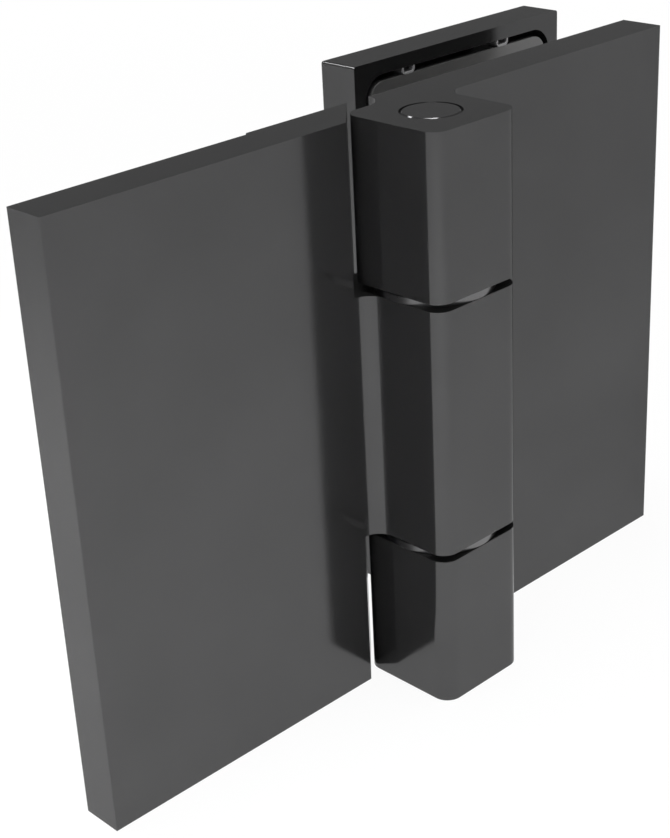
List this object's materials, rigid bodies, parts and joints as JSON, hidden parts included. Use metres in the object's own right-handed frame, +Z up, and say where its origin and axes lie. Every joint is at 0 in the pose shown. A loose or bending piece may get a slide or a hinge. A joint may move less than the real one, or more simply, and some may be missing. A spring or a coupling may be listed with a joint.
{
  "type": "glass door hinge",
  "caption": "Rounded square knuckle hinge with a flat frame leaf and a glass leaf that clamps the pane against a rear cover.",
  "frame": {"origin": "on the frame leaf's mounting face, midway between its two tapped holes", "axes": "+X from the frame leaf to the glass leaf, +Y out of the mounting face towards the door frame, +Z up along the hinge pin"},
  "size_m": [0.1084, 0.0378, 0.08],
  "materials": {
    "leaf_finish": "dark satin coat over cast metal",
    "pin_steel": "ground steel",
    "screw_steel": "plated steel",
    "plate_steel": "plain steel plate",
    "clip_steel": "bright spring steel",
    "bush_steel": "steel-backed plain bush, dark plated, with a sliding lining",
    "gasket_rubber": "black sheet rubber",
    "pad_rubber": "dark grey sheet rubber",
    "sleeve_plastic": "natural nylon"
  },
  "bodies": {
    "frame_side": {"frame_leaf": "leaf_finish", "upper_bush": "bush_steel", "lower_bush": "bush_steel"},
    "glass_side": {"glass_leaf": "leaf_finish", "rear_cover": "leaf_finish", "pin_cap_top": "leaf_finish", "pin_cap_bottom": "leaf_finish", "hinge_pin": "pin_steel", "pin_screw_upper": "screw_steel", "pin_screw_lower": "screw_steel", "clamp_screw_upper": "screw_steel", "clamp_screw_lower": "screw_steel", "clamp_plate": "plate_steel", "front_gasket": "gasket_rubber", "rear_gasket": "pad_rubber", "screw_sleeve_upper": "sleeve_plastic", "screw_sleeve_lower": "sleeve_plastic", "cover_clip_top_left": "clip_steel", "cover_clip_top_right": "clip_steel", "cover_clip_bottom_left": "clip_steel", "cover_clip_bottom_right": "clip_steel"}
  },
  "joints": [
    {"name": "door_swing", "type": "hinge", "parent": "frame_side", "child": "glass_side", "pos_m": [0.0327, -0.0105, 0], "axis": [0, 0, -1], "range_deg": [0, 180]}
  ]
}
